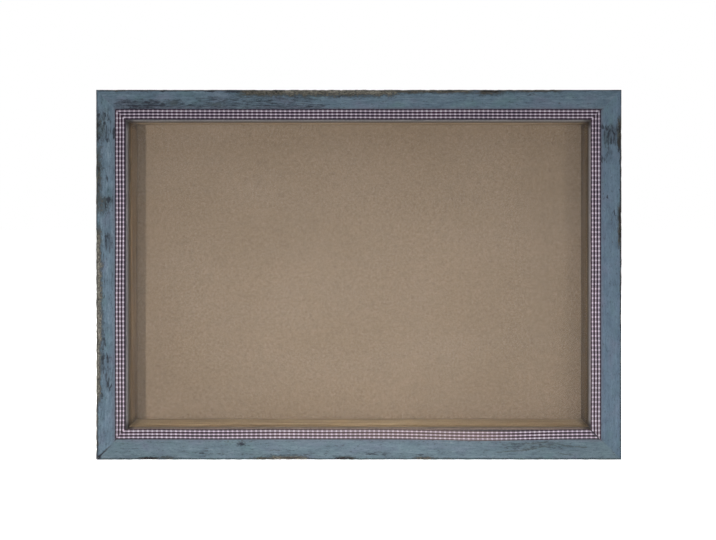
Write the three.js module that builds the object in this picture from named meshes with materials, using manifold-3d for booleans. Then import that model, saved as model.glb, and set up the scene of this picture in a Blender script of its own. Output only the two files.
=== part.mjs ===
// Wooden box picture frame, in millimetres. +Z is up and the picture faces -Y.
// The origin is the middle of the bottom rail's underside.
import * as THREE from "three";
import { mergeVertices } from "three/addons/utils/BufferGeometryUtils.js";
import Module from "manifold-3d";

const wasm = await Module();
wasm.setup();

// Whole frame
const FRAME_WIDTH = 534;
const FRAME_HEIGHT = 376;

// Timber section
const FACE_WIDTH = 33; // outer edge to sight edge
const TIMBER_DEPTH = 34;
const LIP_THICKNESS = 7;
const REBATE_WIDTH = 9; // how far the lip reaches over the rebate
const SIGHT_CHAMFER = 2.6;
const EDGE_RADIUS = 1.2; // worn outer arrises
const MITRE_GAP = 0.3;

// What sits in the rebate
const GLASS_THICKNESS = 2;
const BOARD_THICKNESS = 3;
const PANE_CLEARANCE = 1; // round the edges of glass and board
const SEAT_CLEARANCE = 0.2; // between pieces that lie on each other
const SPACER_CLEARANCE = 0.3; // between a spacer and the wood beside it
const SPACER_SETBACK = 0.2; // spacer face behind the sight edge

// Ribbon round the sight edge
const RIBBON_WIDTH = 10;
const RIBBON_THICKNESS = 0.4;
const RIBBON_INSET = 20.2; // outer edge of the frame to the ribbon
const RIBBON_END_GAP = 0.5; // between the two cut ends
const GLUE_LINE = 0.05;

// V-nails across the mitres
const NAIL_LEG = 5;
const NAIL_GAUGE = 0.7;
const NAIL_HEIGHT = 10;
const NAIL_CLEARANCE = 0.2;
const NAIL_OUTER_INSET = 6; // outer corner to the nearer nail, along each side
const NAIL_SPACING = 8;

// Screws
const SHANK_RADIUS = 1.5;
const SCREW_HEAD_RADIUS = 3.2;
const SCREW_HEAD_HEIGHT = 1.8;
const SCREW_POINT = 3;
const SCREW_GRIP = 13; // length in the wood
const HOLE_CLEARANCE = 0.25;
const CROSS_LENGTH = 3.4;
const CROSS_WIDTH = 0.9;
const CROSS_DEPTH = 0.9;

// Turn buttons
const BUTTON_THICKNESS = 1.2;
const BUTTON_ROOT_RADIUS = 5;
const BUTTON_TIP_RADIUS = 3.5;
const BUTTON_REACH = 15; // screw centre to tip
const BUTTON_SETBACK = 7; // rebate wall to screw centre
const BUTTON_CORNER_INSET = 120; // on the long rails

// Hangers
const HANGER_DROP = 95; // top edge to ring pivot
const STRAP_WIDTH = 10;
const STRAP_GAUGE = 1;
const STRAP_LENGTH = 24; // ring pivot to strap end
const STRAP_SCREW_DROP = 18; // ring pivot to screw
const STRAP_CORNER_RADIUS = 3;
const RING_WIRE_RADIUS = 1.25;
const RING_CLEARANCE = 0.25; // wire in the strap's eye
const RING_SIDE_CLEARANCE = 0.75;
const RING_DROP = 11; // pivot to the middle of the bow
const RING_CORNER_RADIUS = 2.5;
const RING_REST_TILT = 9; // degrees out from hanging straight down

// Places worked out from the sizes above
const FRONT = -TIMBER_DEPTH / 2;
const REAR = TIMBER_DEPTH / 2;
const BODY_WIDTH = FACE_WIDTH - REBATE_WIDTH;
const GLASS_FRONT = FRONT + LIP_THICKNESS + SEAT_CLEARANCE;
const SPACER_FRONT = GLASS_FRONT + GLASS_THICKNESS + SEAT_CLEARANCE;
const BOARD_FRONT = REAR - SEAT_CLEARANCE - BOARD_THICKNESS;
const SPACER_REAR = BOARD_FRONT - SEAT_CLEARANCE;
const PIVOT_INSET = BODY_WIDTH - BUTTON_SETBACK;
const EYE_RADIUS = RING_WIRE_RADIUS + RING_CLEARANCE;
const EYE_OUTER_RADIUS = EYE_RADIUS + STRAP_GAUGE;

const X = new THREE.Vector3(1, 0, 0);
const Y = new THREE.Vector3(0, 1, 0);
const Z = new THREE.Vector3(0, 0, 1);

function material(color, roughness, metalness = 0) {
  return new THREE.MeshStandardMaterial({ color, roughness, metalness });
}

const paint = material(0x677683, 0.7);
const spacerWood = material(0x6b5948, 0.75);
const fibreboard = material(0x8e7d6c, 0.8);
const clearGlass = material(0xdfe8e6, 0.05);
const gingham = material(0x86788a, 0.9);
const brass = material(0xb08d4f, 0.35, 1);
const zinc = material(0xb9bbb8, 0.4, 1);

// Solids

function toSolid(geometry) {
  const bare = geometry.clone();
  bare.deleteAttribute("normal");
  bare.deleteAttribute("uv");
  const merged = mergeVertices(bare, 1e-4);
  return new wasm.Manifold(new wasm.Mesh({
    numProp: 3,
    vertProperties: new Float32Array(merged.attributes.position.array),
    triVerts: new Uint32Array(merged.index.array),
  }));
}

function toGeometry(solid) {
  const mesh = solid.getMesh();
  const geometry = new THREE.BufferGeometry();
  geometry.setAttribute("position", new THREE.BufferAttribute(mesh.vertProperties, 3));
  geometry.setIndex(new THREE.BufferAttribute(mesh.triVerts, 1));
  return geometry;
}

function cut(geometry, tools) {
  return toGeometry(tools.reduce((solid, tool) => solid.subtract(toSolid(tool)), toSolid(geometry)));
}

// The shape's rim and holes as straight-sided loops with no repeated points.
function faceted(shape, divisions) {
  const distinct = (loop) => loop.filter((point, i) => point.distanceTo(loop[(i + 1) % loop.length]) > 1e-6);
  const loops = shape.extractPoints(divisions);
  const result = new THREE.Shape(distinct(loops.shape));
  result.holes = loops.holes.map((hole) => new THREE.Path(distinct(hole)));
  return result;
}

function extruded(shape, depth, divisions) {
  return new THREE.ExtrudeGeometry(faceted(shape, divisions), { depth, bevelEnabled: false });
}

// A flat outline (x, z) given depth along Y, from yLow to yHigh.
function plate(shape, yLow, yHigh, divisions = 8) {
  const geometry = extruded(shape, yHigh - yLow, divisions);
  geometry.applyMatrix4(new THREE.Matrix4().makeBasis(X, Z, Y.clone().negate()));
  return geometry.translate(0, yHigh, 0);
}

// A section (y, z) carried along X, from xLow to xHigh.
function bar(shape, xLow, xHigh, divisions = 8) {
  const geometry = extruded(shape, xHigh - xLow, divisions);
  geometry.applyMatrix4(new THREE.Matrix4().makeBasis(Y, Z, X));
  return geometry.translate(xLow, 0, 0);
}

function block(xLow, xHigh, yLow, yHigh, zLow, zHigh) {
  const geometry = new THREE.BoxGeometry(xHigh - xLow, yHigh - yLow, zHigh - zLow);
  return geometry.translate((xLow + xHigh) / 2, (yLow + yHigh) / 2, (zLow + zHigh) / 2);
}

function outline(points) {
  return new THREE.Shape(points.map(([a, b]) => new THREE.Vector2(a, b)));
}

function addPiece(parent, name, geometry, look) {
  const piece = new THREE.Mesh(geometry, look);
  piece.name = name;
  parent.add(piece);
  return piece;
}

// Each side of the frame is drawn as if it were the bottom one:
// x runs along the side from its first corner, z runs inward from the outer edge.
const HALF_WIDTH = FRAME_WIDTH / 2;
const sides = {
  bottom: { name: "bottom_rail", length: FRAME_WIDTH, quarterTurns: 0, corner: [-HALF_WIDTH, 0] },
  right: { name: "right_stile", length: FRAME_HEIGHT, quarterTurns: 1, corner: [HALF_WIDTH, 0] },
  top: { name: "top_rail", length: FRAME_WIDTH, quarterTurns: 2, corner: [HALF_WIDTH, FRAME_HEIGHT] },
  left: { name: "left_stile", length: FRAME_HEIGHT, quarterTurns: 3, corner: [-HALF_WIDTH, FRAME_HEIGHT] },
};

function sideGroup({ quarterTurns, corner }) {
  const group = new THREE.Group();
  group.position.set(corner[0], 0, corner[1]);
  group.rotation.y = -quarterTurns * Math.PI / 2;
  return group;
}

// Timber

function timberSection() {
  const section = new THREE.Shape();
  section.moveTo(FRONT + EDGE_RADIUS, 0);
  section.lineTo(REAR, 0);
  section.lineTo(REAR, BODY_WIDTH);
  section.lineTo(FRONT + LIP_THICKNESS, BODY_WIDTH);
  section.lineTo(FRONT + LIP_THICKNESS, FACE_WIDTH);
  section.lineTo(FRONT + SIGHT_CHAMFER, FACE_WIDTH);
  section.lineTo(FRONT, FACE_WIDTH - SIGHT_CHAMFER);
  section.lineTo(FRONT, EDGE_RADIUS);
  section.absarc(FRONT + EDGE_RADIUS, EDGE_RADIUS, EDGE_RADIUS, Math.PI, Math.PI * 1.5, false);
  return section;
}

// The section carried along the side, both ends cut back at 45 degrees.
function mitredBar(section, length) {
  const geometry = bar(section, 0, 1, 3);
  const position = geometry.attributes.position;
  const setback = MITRE_GAP / Math.SQRT2;
  for (let i = 0; i < position.count; i += 1) {
    const inward = position.getZ(i) + setback;
    position.setX(i, position.getX(i) < 0.5 ? inward : length - inward);
  }
  return geometry;
}

function nailOutline(inset, leg, gauge, place = (x) => x) {
  const low = inset - gauge / 2;
  const high = inset + gauge / 2;
  const end = inset + leg;
  const points = [[low, low], [end, low], [end, high], [high, high], [high, end], [low, end]];
  return outline(points.map(([x, z]) => [place(x), z]));
}

const nailInsets = [NAIL_OUTER_INSET, NAIL_OUTER_INSET + NAIL_SPACING];

function nailSlots(length) {
  const ends = [(x) => x, (x) => length - x];
  const slot = (inset, place) => plate(
    nailOutline(inset, NAIL_LEG + NAIL_CLEARANCE, NAIL_GAUGE + 2 * NAIL_CLEARANCE, place),
    REAR - SEAT_CLEARANCE - NAIL_HEIGHT - NAIL_CLEARANCE, REAR + 1,
  );
  return ends.flatMap((place) => nailInsets.map((inset) => slot(inset, place)));
}

function screwHole(x, z) {
  const depth = SCREW_GRIP + HOLE_CLEARANCE;
  const radius = SHANK_RADIUS + HOLE_CLEARANCE;
  const hole = new THREE.CylinderGeometry(radius, radius, depth + 1, 12);
  return hole.translate(x, REAR - depth + (depth + 1) / 2, z);
}

// Turn button places along a side: two on a long rail, one in the middle of a stile.
function buttonPlaces(sideName, length) {
  if (sideName === "left" || sideName === "right") {
    return [[sideName, length / 2]];
  }
  const ends = sideName === "bottom" ? ["left", "right"] : ["right", "left"];
  return [
    [`${sideName}_${ends[0]}`, BUTTON_CORNER_INSET],
    [`${sideName}_${ends[1]}`, length - BUTTON_CORNER_INSET],
  ];
}

function hangerScrewPlaces(sideName, length) {
  const drop = HANGER_DROP + STRAP_SCREW_DROP;
  const places = { left: [drop], right: [length - drop] };
  return places[sideName] ?? [];
}

function timber(sideName, length) {
  const holes = [
    ...buttonPlaces(sideName, length).map(([, x]) => screwHole(x, PIVOT_INSET)),
    ...hangerScrewPlaces(sideName, length).map((x) => screwHole(x, BODY_WIDTH / 2)),
  ];
  return cut(mitredBar(timberSection(), length), [...nailSlots(length), ...holes]);
}

function nail(inset) {
  const top = REAR - SEAT_CLEARANCE;
  return plate(nailOutline(inset, NAIL_LEG, NAIL_GAUGE), top - NAIL_HEIGHT, top);
}

// Spacers: the long ones run the whole rebate, the side ones stand between them.

function spacer(sideName, length) {
  const isLong = sideName === "top" || sideName === "bottom";
  const back = BODY_WIDTH + SPACER_CLEARANCE;
  const face = FACE_WIDTH - SPACER_SETBACK;
  const end = isLong ? back : face + SPACER_CLEARANCE;
  return block(end, length - end, SPACER_FRONT, SPACER_REAR, back, face);
}

// Screw with its head's underside at y = 0, pointing along -Y.

function screw(lengthBelowHead) {
  const dome = SCREW_HEAD_HEIGHT * 0.55;
  const profile = [
    [0, -lengthBelowHead],
    [SHANK_RADIUS, SCREW_POINT - lengthBelowHead],
    [SHANK_RADIUS, 0],
    [SCREW_HEAD_RADIUS, 0],
    [SCREW_HEAD_RADIUS, SCREW_HEAD_HEIGHT - dome],
    [SCREW_HEAD_RADIUS * 0.8, SCREW_HEAD_HEIGHT - dome * 0.35],
    [SCREW_HEAD_RADIUS * 0.45, SCREW_HEAD_HEIGHT],
    [0, SCREW_HEAD_HEIGHT],
  ];
  const body = new THREE.LatheGeometry(profile.map(([r, y]) => new THREE.Vector2(r, y)), 16);
  const floor = SCREW_HEAD_HEIGHT - CROSS_DEPTH;
  const top = SCREW_HEAD_HEIGHT + 1;
  const long = CROSS_LENGTH / 2;
  const narrow = CROSS_WIDTH / 2;
  return cut(body, [
    block(-long, long, floor, top, -narrow, narrow),
    block(-narrow, narrow, floor, top, -long, long),
  ]);
}

// Turn button with its screw hole at the origin, pointing along +Z.

function turnButton() {
  const tipCentre = BUTTON_REACH - BUTTON_TIP_RADIUS;
  const lean = Math.asin((BUTTON_ROOT_RADIUS - BUTTON_TIP_RADIUS) / tipCentre);
  const shape = new THREE.Shape();
  shape.absarc(0, 0, BUTTON_ROOT_RADIUS, Math.PI - lean, lean, false);
  shape.absarc(0, tipCentre, BUTTON_TIP_RADIUS, lean, Math.PI - lean, false);
  const hole = new THREE.Path();
  hole.absarc(0, 0, SHANK_RADIUS + HOLE_CLEARANCE, 0, Math.PI * 2, true);
  shape.holes.push(hole);
  return plate(shape, 0, BUTTON_THICKNESS, 12);
}

function addButton(side, name, x) {
  const seat = REAR + SEAT_CLEARANCE;
  const button = addPiece(side, `turn_button_${name}`, turnButton(), brass);
  button.position.set(x, seat, PIVOT_INSET);
  const lengthBelowHead = SCREW_GRIP + BUTTON_THICKNESS + 2 * SEAT_CLEARANCE;
  const fixing = addPiece(side, `button_screw_${name}`, screw(lengthBelowHead), brass);
  fixing.position.set(x, seat + BUTTON_THICKNESS + SEAT_CLEARANCE, PIVOT_INSET);
}

// Hanger strap: a folded strip with an eye for the ring. The ring's pivot is the origin.

function strap() {
  const base = -EYE_OUTER_RADIUS;
  const top = base + 2 * STRAP_GAUGE;
  const meet = Math.acos(top / EYE_OUTER_RADIUS);
  const section = new THREE.Shape();
  section.moveTo(base, -STRAP_LENGTH);
  section.lineTo(top, -STRAP_LENGTH);
  section.absarc(0, 0, EYE_OUTER_RADIUS, -meet, Math.PI, false);
  const eye = new THREE.Path();
  eye.absarc(0, 0, EYE_RADIUS, 0, Math.PI * 2, true);
  section.holes.push(eye);

  const half = STRAP_WIDTH / 2;
  const r = STRAP_CORNER_RADIUS;
  const tongue = new THREE.Shape();
  tongue.moveTo(half, EYE_OUTER_RADIUS + 1);
  tongue.lineTo(-half, EYE_OUTER_RADIUS + 1);
  tongue.absarc(r - half, r - STRAP_LENGTH, r, Math.PI, Math.PI * 1.5, false);
  tongue.absarc(half - r, r - STRAP_LENGTH, r, Math.PI * 1.5, Math.PI * 2, false);
  const hole = new THREE.Path();
  hole.absarc(0, -STRAP_SCREW_DROP, SHANK_RADIUS + HOLE_CLEARANCE, 0, Math.PI * 2, true);
  tongue.holes.push(hole);

  const folded = toSolid(bar(section, -STRAP_WIDTH, STRAP_WIDTH, 10));
  const trimmed = folded.intersect(toSolid(plate(tongue, base - 1, EYE_OUTER_RADIUS + 1, 6)));
  return toGeometry(trimmed);
}

// Centre line of a D-ring hanging down: a straight bar, two rounded corners and a bow.
class RingLine extends THREE.Curve {
  constructor() {
    super();
    const half = STRAP_WIDTH / 2 + RING_SIDE_CLEARANCE + RING_WIRE_RADIUS;
    const r = RING_CORNER_RADIUS;
    this.path = new THREE.Path();
    this.path.moveTo(r - half, 0);
    this.path.lineTo(half - r, 0);
    this.path.absarc(half - r, -r, r, Math.PI / 2, 0, true);
    this.path.absellipse(0, -r, half, RING_DROP - r, 0, -Math.PI, true);
    this.path.absarc(r - half, -r, r, Math.PI, Math.PI / 2, true);
  }

  getPoint(t, target = new THREE.Vector3()) {
    const flat = this.path.getPoint(t);
    return target.set(flat.x, 0, flat.y);
  }
}

function ring() {
  return new THREE.TubeGeometry(new RingLine(), 44, RING_WIRE_RADIUS, 8, true);
}

function addHanger(parent, name, sign) {
  const hanger = new THREE.Group();
  const pivotDepth = REAR + SEAT_CLEARANCE + EYE_OUTER_RADIUS;
  hanger.position.set(sign * (FRAME_WIDTH - BODY_WIDTH) / 2, pivotDepth, FRAME_HEIGHT - HANGER_DROP);
  parent.add(hanger);
  addPiece(hanger, `hanger_strap_${name}`, strap(), zinc);
  const bow = addPiece(hanger, `hanger_ring_${name}`, ring(), zinc);
  bow.rotation.x = THREE.MathUtils.degToRad(RING_REST_TILT);
  const headSeat = 2 * STRAP_GAUGE - EYE_OUTER_RADIUS + SEAT_CLEARANCE;
  const lengthBelowHead = SCREW_GRIP + 2 * STRAP_GAUGE + 2 * SEAT_CLEARANCE;
  const fixing = addPiece(hanger, `hanger_screw_${name}`, screw(lengthBelowHead), zinc);
  fixing.position.set(0, headSeat, -STRAP_SCREW_DROP);
}

// Glass, board and ribbon

function pane(yLow, yHigh) {
  const edge = BODY_WIDTH + PANE_CLEARANCE;
  return block(edge - HALF_WIDTH, HALF_WIDTH - edge, yLow, yHigh, edge, FRAME_HEIGHT - edge);
}

// One strip round the opening, slit along the lower right mitre where its ends meet.
function ribbon() {
  const loop = (inset) => {
    const right = HALF_WIDTH - inset;
    const top = FRAME_HEIGHT - inset;
    const firstEnd = [right - RIBBON_END_GAP, inset];
    const lastEnd = [right, inset + RIBBON_END_GAP];
    return [firstEnd, [-right, inset], [-right, top], [right, top], lastEnd];
  };
  const outer = loop(RIBBON_INSET);
  const inner = loop(RIBBON_INSET + RIBBON_WIDTH).reverse();
  const back = FRONT - GLUE_LINE;
  return plate(outline([...outer, ...inner]), back - RIBBON_THICKNESS, back);
}

// Assembly

const group = new THREE.Group();
group.name = "picture_frame";

const nailCorners = { bottom: "bottom_left", right: "bottom_right", top: "top_right", left: "top_left" };

for (const [sideName, side] of Object.entries(sides)) {
  const holder = sideGroup(side);
  group.add(holder);
  addPiece(holder, side.name, timber(sideName, side.length), paint);
  addPiece(holder, `spacer_${sideName}`, spacer(sideName, side.length), spacerWood);
  addPiece(holder, `v_nail_${nailCorners[sideName]}_outer`, nail(nailInsets[0]), zinc);
  addPiece(holder, `v_nail_${nailCorners[sideName]}_inner`, nail(nailInsets[1]), zinc);
  for (const [buttonName, x] of buttonPlaces(sideName, side.length)) {
    addButton(holder, buttonName, x);
  }
}

addPiece(group, "gingham_ribbon", ribbon(), gingham);
addPiece(group, "glass_pane", pane(GLASS_FRONT, GLASS_FRONT + GLASS_THICKNESS), clearGlass);
addPiece(group, "backing_board", pane(BOARD_FRONT, BOARD_FRONT + BOARD_THICKNESS), fibreboard);
addHanger(group, "left", -1);
addHanger(group, "right", 1);

export default group;
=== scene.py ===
import math

import bpy
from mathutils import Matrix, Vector, noise


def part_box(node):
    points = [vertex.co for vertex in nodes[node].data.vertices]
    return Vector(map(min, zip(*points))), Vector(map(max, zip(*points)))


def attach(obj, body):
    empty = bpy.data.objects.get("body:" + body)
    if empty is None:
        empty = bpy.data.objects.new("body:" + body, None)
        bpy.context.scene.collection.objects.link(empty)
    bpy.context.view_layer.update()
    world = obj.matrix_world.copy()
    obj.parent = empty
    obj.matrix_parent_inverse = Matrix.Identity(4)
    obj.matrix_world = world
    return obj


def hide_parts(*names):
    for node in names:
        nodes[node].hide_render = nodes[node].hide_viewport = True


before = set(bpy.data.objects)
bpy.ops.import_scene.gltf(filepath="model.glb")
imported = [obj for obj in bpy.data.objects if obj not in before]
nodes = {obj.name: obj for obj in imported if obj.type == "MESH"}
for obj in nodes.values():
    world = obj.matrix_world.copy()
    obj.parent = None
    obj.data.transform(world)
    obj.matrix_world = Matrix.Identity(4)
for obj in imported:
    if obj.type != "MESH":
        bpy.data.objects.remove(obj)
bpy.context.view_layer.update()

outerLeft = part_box("left_stile")[0].x
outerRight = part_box("right_stile")[1].x
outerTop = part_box("top_rail")[1].z
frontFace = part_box("bottom_rail")[0].y
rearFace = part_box("bottom_rail")[1].y
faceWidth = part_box("bottom_rail")[1].z
frameWidth = outerRight - outerLeft
frameHeight = outerTop


# Working habits: select one thing, shape it, apply it

def leaveEdit():
    bpy.ops.object.mode_set(mode="OBJECT")


def deselectAll():
    if bpy.context.object and bpy.context.object.mode != "OBJECT":
        leaveEdit()
    bpy.ops.object.select_all(action="DESELECT")


def makeActive(piece):
    deselectAll()
    piece.select_set(True)
    bpy.context.view_layer.objects.active = piece


def startEdit(piece):
    makeActive(piece)
    bpy.ops.object.mode_set(mode="EDIT")
    bpy.ops.mesh.select_all(action="SELECT")


def editAll(piece, operator, **settings):
    startEdit(piece)
    operator(**settings)
    leaveEdit()


def editEdges(piece, wanted, operator, **settings):
    startEdit(piece)
    bpy.ops.mesh.select_mode(type="EDGE")
    bpy.ops.mesh.select_all(action="DESELECT")
    leaveEdit()
    points = [vertex.co.copy() for vertex in piece.data.vertices]
    for edge in piece.data.edges:
        edge.select = wanted(points[edge.vertices[0]], points[edge.vertices[1]])
    bpy.ops.object.mode_set(mode="EDIT")
    operator(**settings)
    leaveEdit()


def adjust(thing, settings):
    for setting, value in settings.items():
        setattr(thing, setting, value)


def applyModifier(piece, kind, **settings):
    makeActive(piece)
    bpy.ops.object.modifier_add(type=kind)
    modifier = piece.modifiers[-1]
    adjust(modifier, settings)
    bpy.ops.object.modifier_apply(modifier=modifier.name)


def cutAway(piece, cutter):
    applyModifier(piece, "BOOLEAN", object=cutter, operation="DIFFERENCE", solver="EXACT")
    bpy.data.objects.remove(cutter)


def addBlock(name, low, high):
    deselectAll()
    low, high = Vector(low), Vector(high)
    bpy.ops.mesh.primitive_cube_add(size=1, location=(low + high) / 2)
    block = bpy.context.object
    block.name = name
    block.scale = high - low
    bpy.ops.object.transform_apply()
    return block


def slicePiece(piece, point, normal, trim=False):
    editAll(piece, bpy.ops.mesh.bisect, plane_co=point, plane_no=normal, use_fill=trim, clear_inner=trim)


def smoothByAngle(piece, degrees):
    makeActive(piece)
    bpy.ops.object.shade_smooth_by_angle(angle=math.radians(degrees))


# how a copy of a CAD node is joined up and its edges softened
softening = {
    "mergeWithin": 0.000002,
    "flatDegrees": 0.5,
    "sharpDegrees": 32,
    "segments": 2,
    "smoothDegrees": 35,
}


def mergedCopy(node, name):
    piece = bpy.data.objects.new(name, nodes[node].data.copy())
    bpy.context.scene.collection.objects.link(piece)
    editAll(piece, bpy.ops.mesh.remove_doubles, threshold=softening["mergeWithin"])
    return piece


def softenedCopy(node, name, bevel):
    piece = mergedCopy(node, name)
    editAll(piece, bpy.ops.mesh.dissolve_limited, angle_limit=math.radians(softening["flatDegrees"]))
    applyModifier(piece, "BEVEL", width=bevel, segments=softening["segments"], limit_method="ANGLE",
                  angle_limit=math.radians(softening["sharpDegrees"]), use_clamp_overlap=True)
    smoothByAngle(piece, softening["smoothDegrees"])
    return piece


def settle(piece, body, slot, *replaced):
    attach(piece, body)
    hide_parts(*replaced)


def setMaterials(piece, *materials):
    piece.data.materials.clear()
    for material in materials:
        piece.data.materials.append(material)


def dressNode(node, ending, bevel, slot, material, body="frame"):
    piece = softenedCopy(node, node + ending, bevel)
    settle(piece, body, slot, node)
    setMaterials(piece, material)
    return piece


def ease(low, high, value):
    t = min(max((value - low) / (high - low), 0), 1)
    return t * t * (3 - 2 * t)


# Shader habits

def newMaterial(name):
    material = bpy.data.materials.new(name)
    material.use_nodes = True
    material.node_tree.nodes.clear()
    return material, material.node_tree


def addNode(tree, kind, values=None, **settings):
    # a socket is linked to what another node gives, or set to a plain value
    made = tree.nodes.new("ShaderNode" + kind)
    adjust(made, settings)
    for socket, value in (values or {}).items():
        if hasattr(value, "is_output"):
            tree.links.new(value, made.inputs[socket])
        else:
            made.inputs[socket].default_value = value
    return made


def finished(material, values):
    tree = material.node_tree
    shader = addNode(tree, "BsdfPrincipled", values)
    addNode(tree, "OutputMaterial", {"Surface": shader.outputs["BSDF"]})
    return material


def objectCoords(tree):
    return addNode(tree, "TexCoord").outputs["Object"]


def uvCoords(tree, mapName):
    return addNode(tree, "UVMap", uv_map=mapName).outputs["UV"]


def mapped(tree, coords, scale, place=(0, 0, 0)):
    return addNode(tree, "Mapping", {"Vector": coords, "Scale": scale, "Location": place}).outputs[0]


def axesOf(tree, coords):
    return addNode(tree, "SeparateXYZ", {"Vector": coords}).outputs


def noiseAt(tree, coords, scale, detail=4, roughness=0.55, place=(0, 0, 0)):
    spot = mapped(tree, coords, scale, place)
    values = {"Vector": spot, "Scale": 1, "Detail": detail, "Roughness": roughness}
    return addNode(tree, "TexNoise", values).outputs["Fac"]


def objectNoise(tree, scale, *settings):
    return noiseAt(tree, objectCoords(tree), scale, *settings)


def maths(tree, operation, first, second=0.0, third=0.0, clamp=False):
    made = addNode(tree, "Math", {0: first, 1: second, 2: third}, operation=operation, use_clamp=clamp)
    return made.outputs[0]


def times(tree, first, second):
    return maths(tree, "MULTIPLY", first, second)


def weighted(tree, *pairs):
    total = None
    for value, weight in pairs:
        part = times(tree, value, weight)
        total = part if total is None else maths(tree, "ADD", total, part)
    return total


def strongest(tree, first, *others):
    for value in others:
        first = maths(tree, "MAXIMUM", first, value)
    return first


def lengthOf(tree, vector):
    return addNode(tree, "VectorMath", {0: vector}, operation="LENGTH").outputs["Value"]


def remap(tree, value, fromLow, fromHigh, toLow=0.0, toHigh=1.0, smooth=False):
    kind = "SMOOTHSTEP" if smooth else "LINEAR"
    made = addNode(tree, "MapRange", {"Value": value, "From Min": fromLow, "From Max": fromHigh,
                                      "To Min": toLow, "To Max": toHigh}, interpolation_type=kind)
    return made.outputs[0]


def mixColours(tree, factor, first, second):
    # a mix node keeps its colours in sockets 6 and 7
    return addNode(tree, "Mix", {0: factor, 6: first, 7: second}, data_type="RGBA").outputs[2]


def stain(tree, tint, amount, screenColour):
    return mixColours(tree, amount, tint, colour(*screenColour))


def ramp(tree, value, *stops):
    made = addNode(tree, "ValToRGB", {"Fac": value})
    elements = made.color_ramp.elements
    while len(elements) < len(stops):
        elements.new(1)
    for element, (place, tint) in zip(elements, stops):
        element.position = place
        element.color = tint
    return made.outputs["Color"]


def bumpFrom(tree, height, strength, distance, under=None):
    values = {"Height": height, "Strength": strength, "Distance": distance}
    if under is not None:
        values["Normal"] = under
    return addNode(tree, "Bump", values).outputs["Normal"]


def attributeOf(tree, name):
    return addNode(tree, "Attribute", attribute_name=name).outputs["Fac"]


def colour(red, green, blue):
    # screen colour, 0 to 255, to the linear colour that a shader takes
    def linear(level):
        level = level / 255
        return level / 12.92 if level <= 0.04045 else ((level + 0.055) / 1.055) ** 2.4
    return (linear(red), linear(green), linear(blue), 1)


# Camera square to the frame, a little above and right of its middle, which shows more of the lower
# inner wall than of the upper one. The lens is shifted back so that the frame keeps its place.

camera = {
    "distance": 0.77,  # to the front of the timber
    "photoWide": 716,
    "metresPerPixel": 0.0010155,  # at the front of the timber
    "right": 0.012,
    "above": 0.075,
    "pictureRight": -0.0008,  # middle of the picture, from the middle of the frame
    "pictureAbove": 0.0049,
}


def placeCamera():
    sensor = 36
    viewWidth = camera["photoWide"] * camera["metresPerPixel"]
    place = (camera["right"], frontFace - camera["distance"], frameHeight / 2 + camera["above"])
    bpy.ops.object.camera_add(location=place, rotation=(math.radians(90), 0, 0))
    made = bpy.context.object
    made.name = "photoCamera"
    made.data.sensor_width = sensor
    made.data.lens = sensor * camera["distance"] / viewWidth
    made.data.shift_x = (camera["pictureRight"] - camera["right"]) / viewWidth
    made.data.shift_y = (camera["pictureAbove"] - camera["above"]) / viewWidth
    made.data.clip_start = 0.01
    bpy.context.scene.camera = made


deselectAll()
placeCamera()
print("camera placed")


# Timber: four mitred lengths with a lip in front and a rebate behind

timber = {
    "lip": 0.007,
    "rebate": 0.009,
    "mitreGap": 0.00005,  # drawn up tight and painted over
    "outerArris": 0.0009,
    "sightChamfer": 0.0026,
    "backArris": 0.0007,
    # cuts across the face from its outer edge, and down the side from the front
    "faceCuts": (0.0024, 0.0034, 0.0046, 0.006, 0.0078, 0.0102, 0.0132, 0.0164, 0.0194),
    "sideCuts": (0.0024, 0.0038, 0.0056, 0.0082, 0.012, 0.017, 0.022, 0.027, 0.0315),
    "firstCuts": 15,
    "cutSpacing": 0.0022,  # along the grain
    "wave": 0.00014,
    "chipDepth": 0.0005,
    "ribbonEdge": 0.0192,  # the face stays flat inside this
    "flatFrom": 0.012,
    "wornDepth": 0.03,  # no wave or chip lies deeper than this from the front
    "smoothDegrees": 38,
}
paintSlot, chamferSlot, lipSlot, bareSlot, endSlot = range(5)

# Each side is made as the bottom rail, turned by quarters and set at its first corner
# the top rail's darker tint is partly painted shade for the light it misses
sides = {
    "bottom_rail": {"turns": 0, "ribbonInset": 0.02125, "contrast": 0.7, "tint": (1.05, 1.02, 0.945)},
    "right_stile": {"turns": 1, "ribbonInset": 0.02145, "contrast": 0.55, "tint": (0.92, 0.935, 0.98)},
    "top_rail": {"turns": 2, "ribbonInset": 0.0200, "contrast": 0.9, "tint": (0.88, 0.89, 0.9)},
    "left_stile": {"turns": 3, "ribbonInset": 0.01985, "contrast": 0.9, "tint": (1.05, 1.05, 1.05)},
}
corners = ((outerLeft, 0), (outerRight, 0), (outerRight, outerTop), (outerLeft, outerTop))
grainShift = 0.7  # keeps the grain of the four sides apart

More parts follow.
